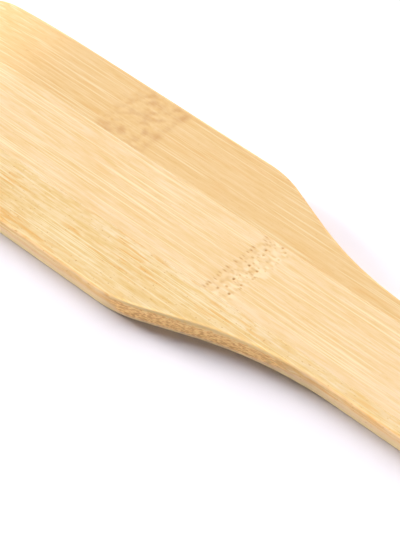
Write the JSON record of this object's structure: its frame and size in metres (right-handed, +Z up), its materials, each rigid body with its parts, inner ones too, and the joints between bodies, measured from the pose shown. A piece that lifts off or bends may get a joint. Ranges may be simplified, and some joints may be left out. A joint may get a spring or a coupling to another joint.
{
  "type": "bone folder",
  "caption": "Flat bamboo folding and burnishing tool: broad thin-edged blade, ogee shoulders and a slim handle, edge-glued from bamboo strips.",
  "frame": {"origin": "middle of the underside, the face that the tool lies on", "axes": "+X along the tool towards the end of the handle, +Y across the tool towards the right strip, +Z up out of the top face"},
  "size_m": [0.3, 0.06, 0.0046],
  "materials": {
    "left_bamboo": "sanded bamboo, honey coloured and strongly streaked, thin satin oil",
    "centre_bamboo": "sanded bamboo, pale, with one node band, thin satin oil",
    "right_bamboo": "sanded bamboo, light tan, with one node band, thin satin oil",
    "cured_glue": "cured wood glue, honey coloured, sanded flush"
  },
  "bodies": {
    "root": {"left_strip": "left_bamboo", "left_glue_line": "cured_glue", "centre_strip": "centre_bamboo", "right_glue_line": "cured_glue", "right_strip": "right_bamboo"}
  },
  "joints": []
}
